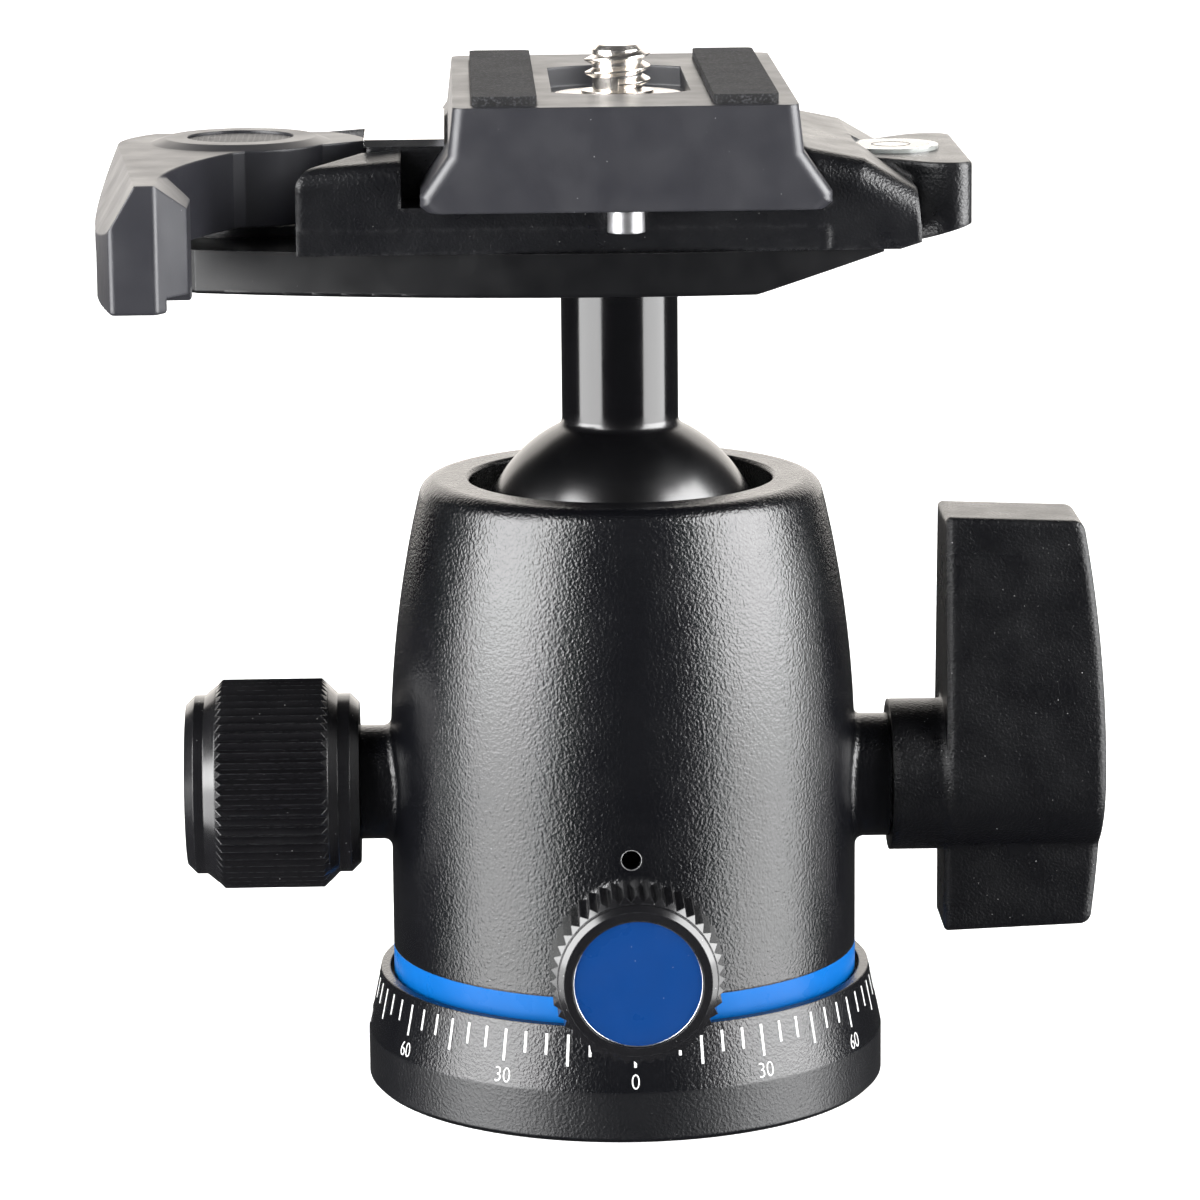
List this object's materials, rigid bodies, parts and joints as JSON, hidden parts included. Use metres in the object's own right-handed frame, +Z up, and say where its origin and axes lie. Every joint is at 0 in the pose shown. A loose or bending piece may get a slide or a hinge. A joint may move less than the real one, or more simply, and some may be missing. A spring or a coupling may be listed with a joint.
{
  "type": "tripod ball head",
  "caption": "Compact tripod ball head with winged main lock, friction knob, panning base with degree scale and quick-release camera plate.",
  "frame": {"origin": "centre of the tripod face under the base, on the panning axis", "axes": "+Z up along the panning axis, +X towards the winged main lock, -Y towards the panning lock"},
  "size_m": [0.0967, 0.0656, 0.1027],
  "materials": {
    "black_paint": "satin",
    "black_anodised": "satin",
    "charcoal_anodised": "satin",
    "blue_anodised": "satin",
    "steel": "satin",
    "bright_nickel": "polished",
    "brass": "satin",
    "polymer": "matte",
    "lever_plastic": "satin",
    "level_plastic": "glossy",
    "level_liquid": "glossy",
    "level_glass": "polished",
    "pad_rubber": "matte",
    "bright_cover": "polished"
  },
  "bodies": {
    "base": {"pan_base": "black_paint", "tripod_bush": "steel", "pan_bearing_washer": "polymer", "pan_pivot_washer": "steel", "pan_pivot_screw": "steel"},
    "housing": {"housing": "black_paint", "trim_ring": "blue_anodised", "upper_ball_seat": "polymer", "housing_grub_screw": "steel", "main_bush": "brass", "friction_bush": "brass", "pan_bush": "brass"},
    "lock_wedge": {"lock_wedge": "steel", "preload_washer": "steel"},
    "ball_cup": {"ball_cup": "polymer"},
    "ball": {"ball_stem": "black_anodised"},
    "platform": {"platform_dish": "black_anodised", "clamp_body": "black_paint", "platform_screw": "steel", "clamp_screws": "steel", "jaw_guide_pins": "steel", "jaw_springs": "steel", "level_case": "level_plastic", "level_liquid": "level_liquid", "level_window": "level_glass", "lever_pivot_bolt": "steel", "lever_washer": "steel"},
    "jaw": {"movable_jaw": "black_paint", "jaw_cover": "bright_cover", "jaw_cover_screws": "bright_cover"},
    "lever": {"clamp_lever": "lever_plastic", "lever_cap": "lever_plastic"},
    "plate": {"camera_plate": "charcoal_anodised", "left_pad": "pad_rubber", "right_pad": "pad_rubber", "stop_screws": "steel"},
    "screw_carrier": {"screw_flange": "bright_nickel", "screw_clip": "bright_nickel"},
    "camera_screw": {"camera_screw": "bright_nickel"},
    "main_plug": {"main_plug": "brass"},
    "main_lock": {"main_knob": "black_paint", "main_spindle": "steel"},
    "friction_plug": {"friction_plug": "brass"},
    "friction_lock": {"friction_knob": "black_anodised", "friction_spindle": "steel"},
    "pan_shoe": {"pan_brake_shoe": "polymer"},
    "pan_lock": {"pan_knob": "black_anodised", "pan_knob_disc": "blue_anodised", "pan_spindle": "steel"}
  },
  "joints": [
    {"name": "pan_turn", "type": "hinge", "parent": "base", "child": "housing", "pos_m": [0, 0, 0.0198], "axis": [0, 0, 1], "continuous": true},
    {"name": "ball_swing", "type": "hinge", "parent": "housing", "child": "ball_cup", "pos_m": [0, 0, 0.0529], "axis": [0, 0, 1], "continuous": true},
    {"name": "ball_tilt", "type": "hinge", "parent": "ball_cup", "child": "ball", "pos_m": [0, 0, 0.0529], "axis": [1, 0, 0], "range_deg": [-40, 40]},
    {"name": "ball_spin", "type": "hinge", "parent": "ball", "child": "platform", "pos_m": [0, 0, 0.0529], "axis": [0, 0, 1], "continuous": true},
    {"name": "main_plug_slide", "type": "slide", "parent": "housing", "child": "main_plug", "axis": [1, 0, 0], "range_m": [0, 0.0008]},
    {"name": "main_lock_turn", "type": "hinge", "parent": "housing", "child": "main_lock", "pos_m": [0.03, 0, 0.0299], "axis": [1, 0, 0], "range_deg": [0, 270]},
    {"name": "wedge_slide", "type": "slide", "parent": "housing", "child": "lock_wedge", "axis": [0, 0, 1], "range_m": [-0.00026, 0]},
    {"name": "friction_plug_slide", "type": "slide", "parent": "housing", "child": "friction_plug", "axis": [-1, 0, 0], "range_m": [0, 0.0008]},
    {"name": "friction_turn", "type": "hinge", "parent": "housing", "child": "friction_lock", "pos_m": [-0.03, 0, 0.0299], "axis": [-1, 0, 0], "range_deg": [0, 270]},
    {"name": "pan_shoe_slide", "type": "slide", "parent": "housing", "child": "pan_shoe", "axis": [0, -1, 0], "range_m": [0, 0.00065]},
    {"name": "pan_lock_turn", "type": "hinge", "parent": "housing", "child": "pan_lock", "pos_m": [0, -0.035, 0.0198], "axis": [0, -1, 0], "range_deg": [0, 270]},
    {"name": "lever_swing", "type": "hinge", "parent": "platform", "child": "lever", "pos_m": [-0.0365, 0, 0.09], "axis": [0, 0, -1], "range_deg": [0, 95]},
    {"name": "jaw_slide", "type": "slide", "parent": "platform", "child": "jaw", "axis": [-1, 0, 0], "range_m": [0, 0.00225], "deforming": ["jaw_springs"]},
    {"name": "plate_slide", "type": "slide", "parent": "platform", "child": "plate", "axis": [0, 1, 0], "range_m": [-0.0008, 0.0008]},
    {"name": "camera_screw_slide", "type": "slide", "parent": "plate", "child": "screw_carrier", "axis": [0, 1, 0], "range_m": [-0.006, 0.006]},
    {"name": "camera_screw_turn", "type": "hinge", "parent": "screw_carrier", "child": "camera_screw", "pos_m": [0, 0, 0.095], "axis": [0, 0, 1], "continuous": true}
  ],
  "couplings": [
    {"joint": "main_plug_slide", "follows": "main_lock_turn", "m_per_rad": 0.00015915},
    {"joint": "wedge_slide", "follows": "main_lock_turn", "m_per_rad": -0.000053052},
    {"joint": "friction_plug_slide", "follows": "friction_turn", "m_per_rad": 0.00015915},
    {"joint": "pan_shoe_slide", "follows": "pan_lock_turn", "m_per_rad": 0.00012732},
    {"joint": "jaw_slide", "follows": "lever_swing", "m_per_rad": 0.0013268}
  ]
}
